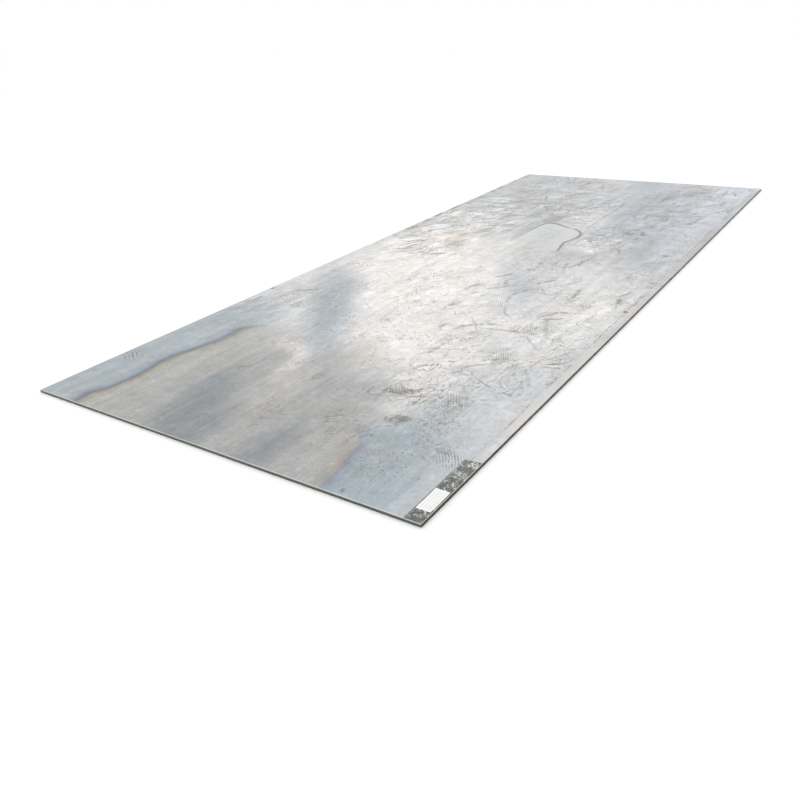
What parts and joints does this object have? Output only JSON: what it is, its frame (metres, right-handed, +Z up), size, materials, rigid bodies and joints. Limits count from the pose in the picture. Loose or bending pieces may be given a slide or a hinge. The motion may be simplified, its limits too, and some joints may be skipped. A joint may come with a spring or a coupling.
{
  "type": "steel plate",
  "caption": "Flat rectangular hot-rolled steel plate with rounded mill edges and sheared ends, carrying a film strip and a blank paper label at one corner.",
  "frame": {"origin": "middle of the plate's bottom face", "axes": "+X along the rolling direction and length, away from the labelled leading end; +Y across the width; +Z up through the thickness"},
  "size_m": [3.048, 1.219, 0.0084],
  "materials": {
    "mill_scale_steel": "satin hot-rolled mill scale with temper colours and yard marks",
    "clear_film": "glossy wrinkled clear film",
    "label_paper": "matte white label paper"
  },
  "bodies": {
    "root": {"plate": "mill_scale_steel", "film_strip": "clear_film", "label": "label_paper"}
  },
  "joints": []
}
